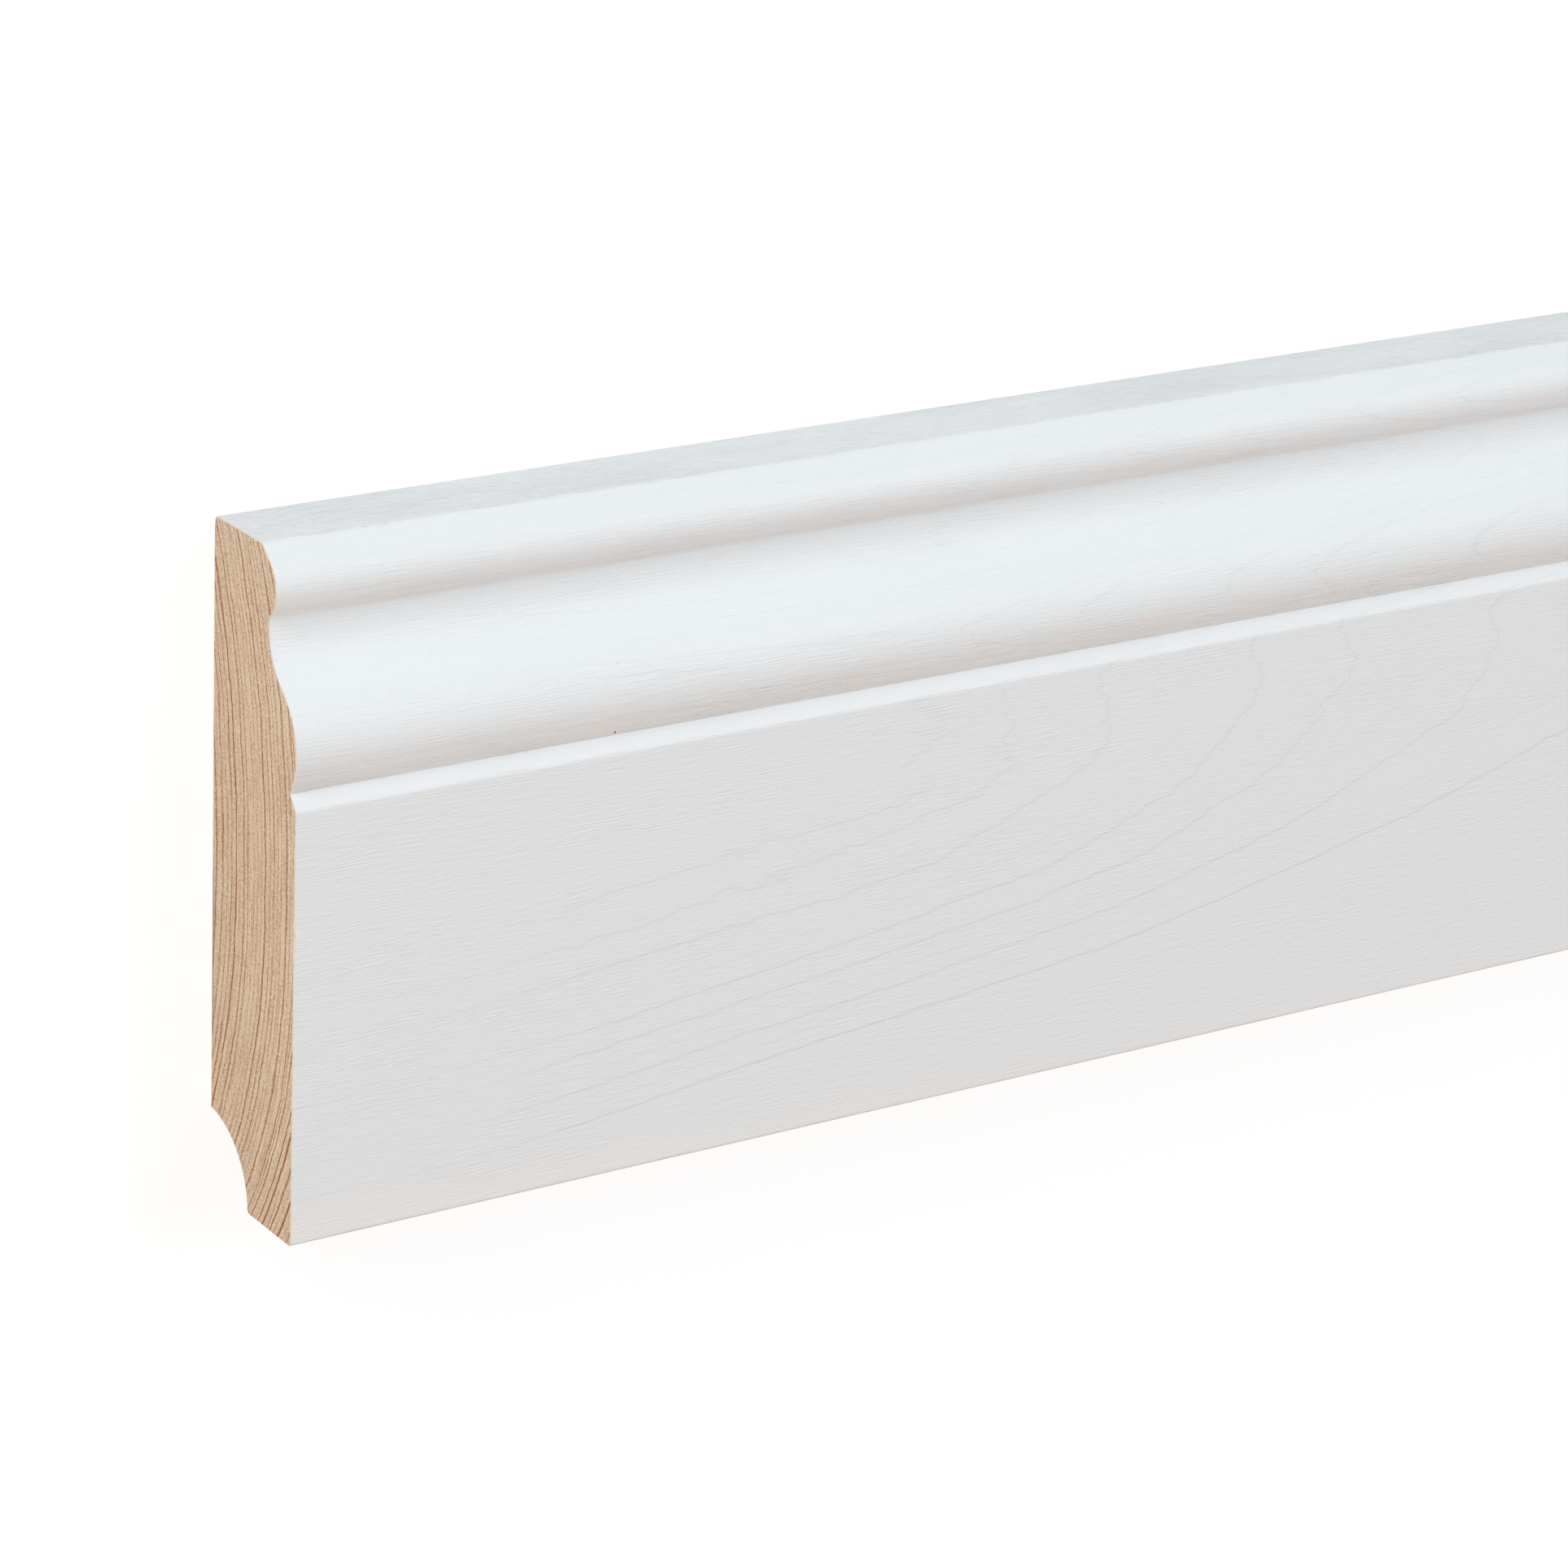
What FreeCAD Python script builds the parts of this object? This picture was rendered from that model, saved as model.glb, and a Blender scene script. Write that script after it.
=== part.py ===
"""Ogee skirting board: one length of solid softwood moulding, lying flat on its back.

The board is a single stick of timber, run through a moulder to one section and sawn square at both ends.
Frame: +X along the length, +Y from the floor edge to the top edge, +Z out of the moulded face.
The origin is the middle of the flat back, so the board rests on z = 0. All sizes are in millimetres.
"""

import FreeCAD, Part
import math
import os

import Sketcher
from FreeCAD import Vector

NODE = "skirting_board"

# Driving sizes. Down the face, from the top edge, come a square edge, a sloping shoulder, a small bead,
# a tight neck, a hollow, a large swell flush with the flat face, a V groove with a bevel, and the flat face.
# A fall is measured down the face from the feature above, a depth or setback square into the board.
SIZES = [
    ("board_length", 2400.0, "sawn length that the stock is sold in"),
    ("board_height", 80.0, "floor edge to top edge"),
    ("board_thickness", 19.0, "back to flat face"),
    ("shoulder_depth", 3.3, "crest of the bead back to the front of the square top edge"),
    ("shoulder_round", 1.0, "radius between the top edge and the shoulder"),
    ("bead_setback", 4.9, "flat face back to the crest of the bead"),
    ("bead_fall", 0.6, "top edge down to the top of the bead's circle"),
    ("bead_radius", 4.2, "radius of the bead"),
    ("neck_radius", 1.0, "radius of the neck under the bead"),
    ("hollow_depth", 1.5, "crest of the bead back to the deepest line of the hollow"),
    ("hollow_fall", 4.1, "crest of the bead down to the deepest line of the hollow"),
    ("swell_fall", 13.1, "deepest line of the hollow down to the crest of the swell"),
    ("swell_radius", 8.5, "radius of the swell"),
    ("groove_fall", 4.5, "crest of the swell down to the bottom of the groove"),
    ("bevel_fall", 1.7, "bottom of the groove down to the flat face"),
    ("bevel_round", 1.0, "radius between the bevel and the flat face"),
    ("cable_radius", 9.6, "radius of the cable cove along the lower back edge"),
    ("cable_offset", 0.8, "distance of the cable cove's centre behind the back"),
    ("back_round", 0.7, "radius of the arris between back and top edge"),
    ("floor_round", 0.5, "radius of both arrises of the floor edge"),
]

# The parts of a line or arc that a constraint can name, and the sketch's own x axis.
START, END, CENTRE = 1, 2, 3
X_AXIS = -1

# An edge runs along the board if this share of its length lies along X.
ALONG_BOARD = 0.999


def make_sheet(doc):
    """Returns a spreadsheet with one row for each driving size: name, value and meaning."""
    sheet = doc.addObject("Spreadsheet::Sheet", "Sizes")
    for row, (alias, value, meaning) in enumerate(SIZES, start=1):
        sheet.set(f"A{row}", alias)
        sheet.set(f"B{row}", str(value))
        sheet.set(f"C{row}", meaning)
        sheet.setAlias(f"B{row}", alias)
    doc.recompute()
    return sheet


def origin_plane(body, role):
    """Returns the body's own origin plane with the given role, such as YZ_Plane."""
    return next(plane for plane in body.Origin.OriginFeatures if plane.Role == role)


def circle_crossing(centre_a, radius_a, centre_b, radius_b):
    """Returns the crossing of two circles that lies to the right of the way from a to b."""
    gap = centre_b - centre_a
    along = (radius_a**2 - radius_b**2 + gap.Length**2) / (2 * gap.Length)
    across = math.sqrt(radius_a**2 - along**2)
    direction = Vector(gap).normalize()
    return centre_a + direction * along + Vector(direction.y, -direction.x, 0) * across


def section_points(size):
    """Returns the corners and centres of the section by name, in the sketch's plane.

    The sketch's x runs up the board's height from its middle, and its y from the back to the face.
    """

    def place(drop, setback):
        return Vector(size.board_height / 2 - drop, size.board_thickness - setback, 0)

    bead_drop = size.bead_fall + size.bead_radius
    hollow_drop = bead_drop + size.hollow_fall
    swell_drop = hollow_drop + size.swell_fall
    groove_drop = swell_drop + size.groove_fall
    floor_drop = size.board_height
    spot = {
        "floor_front": place(floor_drop, 0),
        "bevel_foot": place(groove_drop + size.bevel_fall, 0),
        "top_front": place(0, size.bead_setback + size.shoulder_depth),
        "top_back": place(0, size.board_thickness),
        "bead_centre": place(bead_drop, size.bead_setback + size.bead_radius),
        "swell_centre": place(swell_drop, size.swell_radius),
        "cable_centre": place(floor_drop, size.board_thickness + size.cable_offset),
    }

    # The groove's bottom lies on the lower flank of the swell.
    groove_depth = size.swell_radius - math.sqrt(size.swell_radius**2 - size.groove_fall**2)
    spot["groove"] = place(groove_drop, groove_depth)

    # The hollow touches the swell from outside, which settles its radius.
    deepest = size.bead_setback + size.hollow_depth
    hollow_radius = (size.swell_fall**2 + deepest**2) / (2 * deepest) - size.swell_radius
    spot["valley"] = place(hollow_drop, deepest)
    spot["hollow_centre"] = place(hollow_drop, deepest - hollow_radius)
    toward_hollow = (spot["hollow_centre"] - spot["swell_centre"]).normalize()
    spot["swell_top"] = spot["swell_centre"] + toward_hollow * size.swell_radius

    # The neck touches the bead from outside and the hollow from inside.
    to_bead = size.bead_radius + size.neck_radius
    to_hollow = hollow_radius - size.neck_radius
    neck_centre = circle_crossing(spot["hollow_centre"], to_hollow, spot["bead_centre"], to_bead)
    spot["neck_centre"] = neck_centre
    toward_bead = (spot["bead_centre"] - neck_centre).normalize()
    spot["neck_top"] = neck_centre + toward_bead * size.neck_radius
    from_hollow = (neck_centre - spot["hollow_centre"]).normalize()
    spot["neck_foot"] = neck_centre + from_hollow * size.neck_radius

    # The straight shoulder runs down from the top edge and touches the bead.
    to_corner = spot["top_front"] - spot["bead_centre"]
    corner_angle = math.atan2(to_corner.y, to_corner.x)
    touch_angle = corner_angle + math.acos(size.bead_radius / to_corner.Length)
    touch = Vector(math.cos(touch_angle), math.sin(touch_angle), 0) * size.bead_radius
    spot["shoulder_foot"] = spot["bead_centre"] + touch

    # The cable cove takes the corner between the back and the floor edge.
    cable_rise = math.sqrt(size.cable_radius**2 - size.cable_offset**2)
    spot["cable_back"] = place(floor_drop - cable_rise, size.board_thickness)
    cable_reach = size.cable_radius - size.cable_offset
    spot["cable_floor"] = place(floor_drop, size.board_thickness - cable_reach)
    return spot


def arc_between(centre, start, end):
    """Returns the arc about centre that runs anticlockwise from start to end."""
    from_angle = math.atan2(start.y - centre.y, start.x - centre.x)
    to_angle = math.atan2(end.y - centre.y, end.x - centre.x)
    circle = Part.Circle(centre, Vector(0, 0, 1), centre.distanceToPoint(start))
    return Part.ArcOfCircle(circle, from_angle, to_angle)


class Section:
    """The board's closed section in a sketch, with every dimension tied to the sizes."""

    def __init__(self, sketch, spot):
        self.sketch = sketch
        self.curves = {
            "face": Part.LineSegment(spot["floor_front"], spot["bevel_foot"]),
            "bevel": Part.LineSegment(spot["bevel_foot"], spot["groove"]),
            "swell": arc_between(spot["swell_centre"], spot["swell_top"], spot["groove"]),
            "hollow": arc_between(spot["hollow_centre"], spot["swell_top"], spot["neck_foot"]),
            "neck": arc_between(spot["neck_centre"], spot["neck_foot"], spot["neck_top"]),
            "bead": arc_between(spot["bead_centre"], spot["shoulder_foot"], spot["neck_top"]),
            "shoulder": Part.LineSegment(spot["shoulder_foot"], spot["top_front"]),
            "top": Part.LineSegment(spot["top_front"], spot["top_back"]),
            "back": Part.LineSegment(spot["top_back"], spot["cable_back"]),
            "cable": arc_between(spot["cable_centre"], spot["cable_back"], spot["cable_floor"]),
            "floor": Part.LineSegment(spot["cable_floor"], spot["floor_front"]),
        }
        self.number = {name: sketch.addGeometry(curve) for name, curve in self.curves.items()}

        # A construction line from the hollow's centre to its deepest line.
        self.curves["valley"] = Part.LineSegment(spot["hollow_centre"], spot["valley"])
        self.number["valley"] = sketch.addGeometry(self.curves["valley"], True)

    def relate(self, kind, *items):
        """Adds a constraint between curves, given by name, and the ends or centres that follow them."""
        numbers = [self.number.get(item, item) for item in items]
        self.sketch.addConstraint(Sketcher.Constraint(kind, *numbers))

    def dimension(self, name, formula, kind, *items):
        """Adds a named dimension whose value comes from a formula of the sizes."""
        numbers = [self.number.get(item, item) for item in items]
        value = self.measured(kind, *items)
        added = self.sketch.addConstraint(Sketcher.Constraint(kind, *numbers, value))
        self.sketch.renameConstraint(added, name)
        self.sketch.setExpression(f"Constraints.{name}", formula)

    def measured(self, kind, *items):
        """Returns the radius of a curve, or the distance along x or y from one point to another."""
        if kind == "Radius":
            return self.curves[items[0]].Radius
        way = self.point(*items[2:]) - self.point(*items[:2])
        return way.x if kind == "DistanceX" else way.y

    def point(self, item, which):
        """Returns an end or the centre of a curve, or the sketch's origin."""
        if item == X_AXIS:
            return Vector(0, 0, 0)
        curve = self.curves[item]
        return {START: curve.StartPoint, END: curve.EndPoint}.get(which) or curve.Center

    def close_outline(self):
        """Joins the curves end to end, smoothly where the cutter leaves no corner."""
        self.relate("Coincident", "face", END, "bevel", START)
        self.relate("Coincident", "bevel", END, "swell", END)
        self.relate("Tangent", "swell", START, "hollow", START)
        self.relate("Tangent", "hollow", END, "neck", START)
        self.relate("Tangent", "neck", END, "bead", END)
        self.relate("Tangent", "bead", START, "shoulder", START)
        self.relate("Coincident", "shoulder", END, "top", START)
        self.relate("Coincident", "top", END, "back", START)
        self.relate("Coincident", "back", END, "cable", START)
        self.relate("Coincident", "cable", END, "floor", START)
        self.relate("Coincident", "floor", END, "face", START)

    def square_up(self):
        """Lays the face and back along the height, and the top and floor edges across it."""
        self.relate("Horizontal", "face")
        self.relate("Horizontal", "back")
        self.relate("Vertical", "top")
        self.relate("Vertical", "floor")
        self.relate("PointOnObject", "back", START, X_AXIS)
        self.relate("PointOnObject", "cable", CENTRE, "floor")
        self.relate("Coincident", "valley", START, "hollow", CENTRE)
        self.relate("PointOnObject", "valley", END, "hollow")
        self.relate("Vertical", "valley")

    def set_dimensions(self):
        """Ties the section's size, its falls, its depths and its radii to the sheet."""
        floor, top = ("face", START), ("top", START)
        bead, swell = ("bead", CENTRE), ("swell", CENTRE)
        valley, groove = ("valley", END), ("bevel", END)
        along, into = "DistanceX", "DistanceY"
        self.dimension("half_height", "Sizes.board_height / 2", along, *floor, X_AXIS, START)
        self.dimension("height", "Sizes.board_height", along, *floor, *top)
        self.dimension("thickness", "Sizes.board_thickness", into, "back", START, *floor)

        self.dimension("bead_drop", "Sizes.bead_fall + Sizes.bead_radius", along, *bead, *top)
        self.dimension("hollow_fall", "Sizes.hollow_fall", along, *valley, *bead)
        self.dimension("swell_fall", "Sizes.swell_fall", along, *swell, *valley)
        self.dimension("groove_fall", "Sizes.groove_fall", along, *groove, *swell)
        self.dimension("bevel_fall", "Sizes.bevel_fall", along, "face", END, *groove)

        self.dimension("shoulder_setback", "Sizes.bead_setback + Sizes.shoulder_depth", into, *top, *floor)
        self.dimension("bead_centre", "Sizes.bead_setback + Sizes.bead_radius", into, *bead, *floor)
        self.dimension("valley_setback", "Sizes.bead_setback + Sizes.hollow_depth", into, *valley, *floor)
        self.dimension("swell_flush", "Sizes.swell_radius", into, *swell, *floor)
        self.dimension("cable_offset", "Sizes.cable_offset", into, "cable", CENTRE, "back", START)

        for name in ("bead", "neck", "swell", "cable"):
            self.dimension(f"{name}_radius", f"Sizes.{name}_radius", "Radius", name)


def long_edge(shape, spot):
    """Returns the name of the edge that runs the board's length through a corner of the section."""
    corner = Vector(0, spot.x, spot.y)

    def distance(edge):
        first, last = edge.Vertexes[0].Point, edge.Vertexes[-1].Point
        if abs(last.x - first.x) < edge.Length * ALONG_BOARD:
            return math.inf
        return corner.distanceToLine(first, last - first)

    distances = [distance(edge) for edge in shape.Edges]
    return f"Edge{distances.index(min(distances)) + 1}"


def round_arris(body, base, name, spots, size_name):
    """Rounds the lengthwise edges at the given corners of the section, and returns the fillet."""
    fillet = body.newObject("PartDesign::Fillet", name)
    fillet.Base = (base, [long_edge(base.Shape, spot) for spot in spots])
    fillet.setExpression("Radius", f"Sizes.{size_name}")
    body.Document.recompute()
    return fillet


def make_board(doc, size):
    """Returns the board: the section run along its length, with its arrises eased."""
    body = doc.addObject("PartDesign::Body", "SkirtingBoard")
    body.Label = NODE

    sketch = body.newObject("Sketcher::SketchObject", "Section")
    sketch.AttachmentSupport = (origin_plane(body, "YZ_Plane"), [""])
    sketch.MapMode = "FlatFace"
    spot = section_points(size)
    section = Section(sketch, spot)
    section.close_outline()
    section.square_up()
    section.set_dimensions()
    doc.recompute()

    run = body.newObject("PartDesign::Pad", "MouldedRun")
    run.Profile = sketch
    run.SideType = "Symmetric"
    run.setExpression("Length", "Sizes.board_length")
    doc.recompute()

    eased = round_arris(body, run, "ShoulderRound", [spot["top_front"]], "shoulder_round")
    eased = round_arris(body, eased, "BevelRound", [spot["bevel_foot"]], "bevel_round")
    eased = round_arris(body, eased, "BackRound", [spot["top_back"]], "back_round")
    floor_arrises = [spot["floor_front"], spot["cable_floor"]]
    round_arris(body, eased, "FloorRound", floor_arrises, "floor_round")
    return body


def check(doc, body):
    """Stops if an object failed, the section is loose, or the board isn't one whole solid."""
    for item in doc.Objects:
        if {"Invalid", "Error"} & set(item.State):
            raise RuntimeError(f"{item.Name} failed: {item.State}")
        if item.TypeId == "Sketcher::SketchObject" and not item.FullyConstrained:
            raise RuntimeError(f"{item.Name} isn't fully constrained")
    shape = body.Shape
    if shape.isNull() or not shape.isValid() or len(shape.Solids) != 1:
        raise RuntimeError(f"{body.Label} isn't one valid solid")


def main():
    """Builds the board, checks it and writes its solid."""
    doc = FreeCAD.newDocument("SkirtingBoard")
    size = make_sheet(doc)
    body = make_board(doc, size)
    doc.recompute()
    check(doc, body)

    os.makedirs("parts", exist_ok=True)
    body.Shape.exportStep(f"parts/{body.Label}.step")
    box = body.Shape.BoundBox
    print(f"{body.Label}: {box.XLength:.1f} x {box.YLength:.1f} x {box.ZLength:.1f} mm")
    print(f"section {body.Shape.Volume / box.XLength:.1f} mm2, volume {body.Shape.Volume / 1e3:.0f} cm3")


main()
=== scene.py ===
"""White-lacquered ogee skirting board: the looks of one sawn length, lying on its back on a pale floor.

The board is planed softwood, moulded to one section, sprayed white on its face and top edge, and sawn square
at both ends. Sizes are in millimetres in the classes below, and turn to metres where a mesh or a material is
made. Frame: +X runs along the board, +Y from its floor edge to its top edge, and +Z out of its moulded face.

What feeds a node stands in the order of its sockets. For the node that fades one measure by another, that is
the measure it follows, where the fade starts and ends, and its level at either.
"""

import logging
import math
from dataclasses import dataclass, field
from enum import Enum

import bpy
from mathutils import Euler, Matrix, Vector, noise


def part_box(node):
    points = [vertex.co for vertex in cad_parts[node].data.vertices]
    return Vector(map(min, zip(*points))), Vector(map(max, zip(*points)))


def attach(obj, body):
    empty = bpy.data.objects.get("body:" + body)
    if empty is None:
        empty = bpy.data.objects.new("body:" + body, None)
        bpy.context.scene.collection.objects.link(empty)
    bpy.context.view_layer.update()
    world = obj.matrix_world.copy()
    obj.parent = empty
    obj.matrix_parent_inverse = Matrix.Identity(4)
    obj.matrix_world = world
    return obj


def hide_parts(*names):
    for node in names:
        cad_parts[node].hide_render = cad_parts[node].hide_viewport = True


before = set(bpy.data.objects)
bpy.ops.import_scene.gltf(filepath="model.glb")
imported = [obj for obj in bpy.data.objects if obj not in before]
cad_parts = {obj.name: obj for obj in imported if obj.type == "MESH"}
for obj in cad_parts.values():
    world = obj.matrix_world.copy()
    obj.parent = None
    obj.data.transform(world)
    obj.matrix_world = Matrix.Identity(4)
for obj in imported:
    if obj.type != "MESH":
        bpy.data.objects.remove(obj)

LOG = logging.getLogger("skirting_board")

NODE = "skirting_board"
BODY = "root"
MM = 0.001

# The map that the baked colours are laid out on, and how its square is shared out.
BAKE_MAP = "OFBake"
MAP_MARGIN = 0.004
MAP_SIDES_TOP = 0.86
MAP_END_LOW = 0.88
MAP_END_SCALE = 0.0055

# The colour sockets of a Mix node, which share their names with its other sockets.
MIX_FROM = 6
MIX_TO = 7

# Short names for types. A signal is a socket, or a node by the first output that it shows.
Tree = bpy.types.NodeTree
Signal = bpy.types.Node | bpy.types.NodeSocket


class Finish(Enum):
    """What covers a stretch of the board's surface. The value is its place among the mesh's materials."""

    LACQUER = 0
    PLANED = 1
    SAWN = 2
    FILM_EDGE = 3


def linear(code: str) -> tuple[float, float, float, float]:
    """Turns an sRGB hex colour into the linear colour that a shader socket takes.

    Args:
        code: The colour as "#RRGGBB".

    Returns:
        Linear red, green and blue, and an alpha of 1.
    """
    channels = (int(code[at : at + 2], 16) / 255 for at in (1, 3, 5))
    red, green, blue = (c / 12.92 if c <= 0.04045 else ((c + 0.055) / 1.055) ** 2.4 for c in channels)
    return red, green, blue, 1.0


def feed(node: bpy.types.Node, inputs: dict | tuple) -> None:
    """Links or sets a node's inputs.

    Args:
        node: The node that is fed.
        inputs: The signals or fixed values that feed it, in the order of its sockets, or by socket in a dict.
    """
    for key, value in inputs.items() if isinstance(inputs, dict) else enumerate(inputs):
        if isinstance(value, bpy.types.Node):
            value = next(output for output in value.outputs if output.enabled)
        if isinstance(value, bpy.types.NodeSocket):
            node.id_data.links.new(value, node.inputs[key])
        else:
            node.inputs[key].default_value = value


def add_node(tree: Tree, kind: str, inputs: dict | tuple = (), **settings) -> bpy.types.Node:
    """Adds a node to a tree with its settings and links.

    Args:
        tree: The tree that gets the node.
        kind: Blender's name for the kind of node.
        inputs: What feeds it, as in feed.
        settings: The node's own settings, by name.

    Returns:
        The new node.
    """
    node = tree.nodes.new(kind)
    for name, value in settings.items():
        setattr(node, name, value)
    feed(node, inputs)
    return node


def new_material(name: str) -> tuple[bpy.types.Material, bpy.types.Node]:
    """Makes a material, and returns it with its shader."""
    made = bpy.data.materials.new(name)
    made.use_nodes = True
    return made, made.node_tree.nodes["Principled BSDF"]


def grain(tree: Tree, place: Signal, length: float, width: float, detail: float) -> Signal:
    """Makes a noise that is drawn out along the trunk.

    Args:
        tree: The tree that gets it.
        place: The place, in millimetres.
        length: How long its forms are along the board, in millimetres.
        width: How wide they are across it.
        detail: How many finer noises it holds.

    Returns:
        The noise, from 0 to 1.
    """
    shrink = (1 / length, 1 / width, 1 / width)
    drawn = add_node(tree, "ShaderNodeVectorMath", (place, shrink), operation="MULTIPLY")
    return add_node(tree, "ShaderNodeTexNoise", {"Vector": drawn, "Scale": 1.0, "Detail": detail})


def swing(tree: Tree, base: Signal | float, wave: Signal, reach: Signal | float) -> Signal:
    """Swings a measure to both sides.

    Args:
        tree: The tree that gets it.
        base: The measure.
        wave: A noise from 0 to 1.
        reach: How far it swings as the noise goes from 0 to 1.

    Returns:
        The measure with its swing.
    """
    centred = add_node(tree, "ShaderNodeMath", (wave, 0.5), operation="SUBTRACT")
    return add_node(tree, "ShaderNodeMath", (centred, reach, base), operation="MULTIPLY_ADD")


def unit(vector: Vector) -> Vector:
    """Returns a vector of length 1 in the same direction."""
    return vector / vector.length


def arc(centre: Vector, start: Vector, end: Vector, step: float, turn: float) -> list[Vector]:
    """Divides the shorter arc about a centre.

    Args:
        centre: The arc's centre.
        start: Its first point.
        end: Its last point.
        step: The longest chord, in the points' unit.
        turn: The largest turn from one chord to the next, in degrees.

    Returns:
        The points from start to end, both included.
    """
    from_angle = math.atan2(start.y - centre.y, start.x - centre.x)
    to_angle = math.atan2(end.y - centre.y, end.x - centre.x)
    sweep = (to_angle - from_angle + math.pi) % math.tau - math.pi
    radius = (start - centre).length
    count = max(1, math.ceil(abs(sweep) * radius / step), math.ceil(abs(sweep) / math.radians(turn)))
    angles = (from_angle + sweep * k / count for k in range(count + 1))
    return [centre + Vector((math.cos(a), math.sin(a))) * radius for a in angles]


def straight(start: Vector, end: Vector, step: float) -> list[Vector]:
    """Divides a straight line.

    Args:
        start: Its first point.
        end: Its last point.
        step: The longest division, in the points' unit.

    Returns:
        The points from start to end, both included.
    """
    count = max(1, math.ceil((end - start).length / step))
    return [start.lerp(end, k / count) for k in range(count + 1)]


def ways_along(points: list[Vector]) -> list[float]:
    """Measures the way along a row of points, from the first to each of them."""
    ways = [0.0]
    for before, after in zip(points, points[1:], strict=False):
        ways.append(ways[-1] + (after - before).length)
    return ways


@dataclass(frozen=True)
class EasedCorner:
    """A corner between two straight lines, rounded to a radius."""

    corner: Vector
    before: Vector
    after: Vector
    radius: float

    @property
    def half_angle(self) -> float:
        """Half the angle that the two lines enclose, in radians."""
        return (self.before - self.corner).angle(self.after - self.corner) / 2

    @property
    def start(self) -> Vector:
        """Where the round leaves the line from before."""
        return self.corner + unit(self.before - self.corner) * self.radius / math.tan(self.half_angle)

    @property
    def end(self) -> Vector:
        """Where the round meets the line to after."""
        return self.corner + unit(self.after - self.corner) * self.radius / math.tan(self.half_angle)

    @property
    def centre(self) -> Vector:
        """The centre of the round."""
        inward = unit(self.before - self.corner) + unit(self.after - self.corner)
        return self.corner + unit(inward) * self.radius / math.sin(self.half_angle)


@dataclass(frozen=True)
class Stretch:
    """One stretch of the section's outline, and the finish on it."""

    points: list[Vector]
    finish: Finish


@dataclass(frozen=True)
class Section:
    """The moulded section, in millimetres.

    A point is (drop, setback): down from the top edge, and square into the board from the plane of the flat
    face. A fall is measured down the face from the feature above it.
    """

    height: float
    thickness: float
    shoulder_depth: float = 3.3
    shoulder_round: float = 1.0
    bead_setback: float = 4.9
    bead_fall: float = 0.6
    bead_radius: float = 4.2
    neck_radius: float = 1.0
    hollow_depth: float = 1.5
    hollow_fall: float = 4.1
    swell_fall: float = 13.1
    swell_radius: float = 8.5
    groove_fall: float = 4.5
    bevel_fall: float = 1.7
    bevel_round: float = 1.0
    cable_radius: float = 9.6
    cable_offset: float = 0.8
    back_round: float = 0.7
    floor_round: float = 0.5
    longest_step: float = 0.4
    finest_turn: float = 9.0

    def arc(self, centre: Vector, start: Vector, end: Vector) -> list[Vector]:
        """Divides an arc of the outline as finely as the section is drawn."""
        return arc(centre, start, end, self.longest_step, self.finest_turn)

    def round(self, eased: EasedCorner) -> list[Vector]:
        """Divides the round of an eased corner."""
        return self.arc(eased.centre, eased.start, eased.end)

    def line(self, start: Vector, end: Vector) -> list[Vector]:
        """Divides a straight run of the outline."""
        return straight(start, end, self.longest_step)

    def outline(self) -> list[Stretch]:
        """Draws the closed outline, from the top edge round by the face, floor edge, cove and back.

        Returns:
            The stretches in order. Each starts where the one before it ends.
        """
        floor, back = self.height, self.thickness
        bead = Vector((self.bead_fall + self.bead_radius, self.bead_setback + self.bead_radius))
        deepest = self.bead_setback + self.hollow_depth
        hollow_drop = bead.x + self.hollow_fall
        swell = Vector((hollow_drop + self.swell_fall, self.swell_radius))
        hollow_radius = (self.swell_fall**2 + deepest**2) / (2 * deepest) - self.swell_radius
        hollow = Vector((hollow_drop, deepest - hollow_radius))
        swell_top = swell + unit(hollow - swell) * self.swell_radius
        groove_depth = self.swell_radius - math.sqrt(self.swell_radius**2 - self.groove_fall**2)
        groove = Vector((swell.x + self.groove_fall, groove_depth))

        neck = self.neck_centre(bead, hollow, hollow_radius)
        neck_top = neck + unit(bead - neck) * self.neck_radius
        neck_foot = neck + unit(neck - hollow) * self.neck_radius

        top_back = Vector((0, back))
        top_front = Vector((0, self.bead_setback + self.shoulder_depth))
        foot = Vector((groove.x + self.bevel_fall, 0))
        floor_front = Vector((floor, 0))
        floor_back = Vector((floor, back))
        shoulder_foot = self.shoulder_foot(bead, top_front)

        rise = math.sqrt(self.cable_radius**2 - self.cable_offset**2)
        cable = Vector((floor, back + self.cable_offset))
        cable_back = Vector((floor - rise, back))
        lip_reach = math.sqrt((self.cable_radius + self.floor_round) ** 2 - self.floor_round**2)
        lip = Vector((floor - self.floor_round, cable.y - lip_reach))
        lip_end = lip + unit(cable - lip) * self.floor_round

        back_arris = EasedCorner(top_back, floor_back, top_front, self.back_round)
        top_arris = EasedCorner(top_front, top_back, shoulder_foot, self.shoulder_round)
        bevel_arris = EasedCorner(foot, groove, floor_front, self.bevel_round)
        floor_arris = EasedCorner(floor_front, foot, floor_back, self.floor_round)

        lacquered = [
            self.round(back_arris),
            self.line(back_arris.end, top_arris.start),
            self.round(top_arris),
            self.line(top_arris.end, shoulder_foot),
            self.arc(bead, shoulder_foot, neck_top),
            self.arc(neck, neck_top, neck_foot),
            self.arc(hollow, neck_foot, swell_top),
            self.arc(swell, swell_top, groove),
            self.line(groove, bevel_arris.start),
            self.round(bevel_arris),
            self.line(bevel_arris.end, floor_arris.start),
            self.round(floor_arris),
        ]
        bare = [
            self.line(floor_arris.end, Vector((floor, lip.y))),
            self.arc(lip, Vector((floor, lip.y)), lip_end),
            self.arc(cable, lip_end, cable_back),
            self.line(cable_back, back_arris.start),
        ]
        return [Stretch(p, Finish.LACQUER) for p in lacquered] + [Stretch(p, Finish.PLANED) for p in bare]

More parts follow.
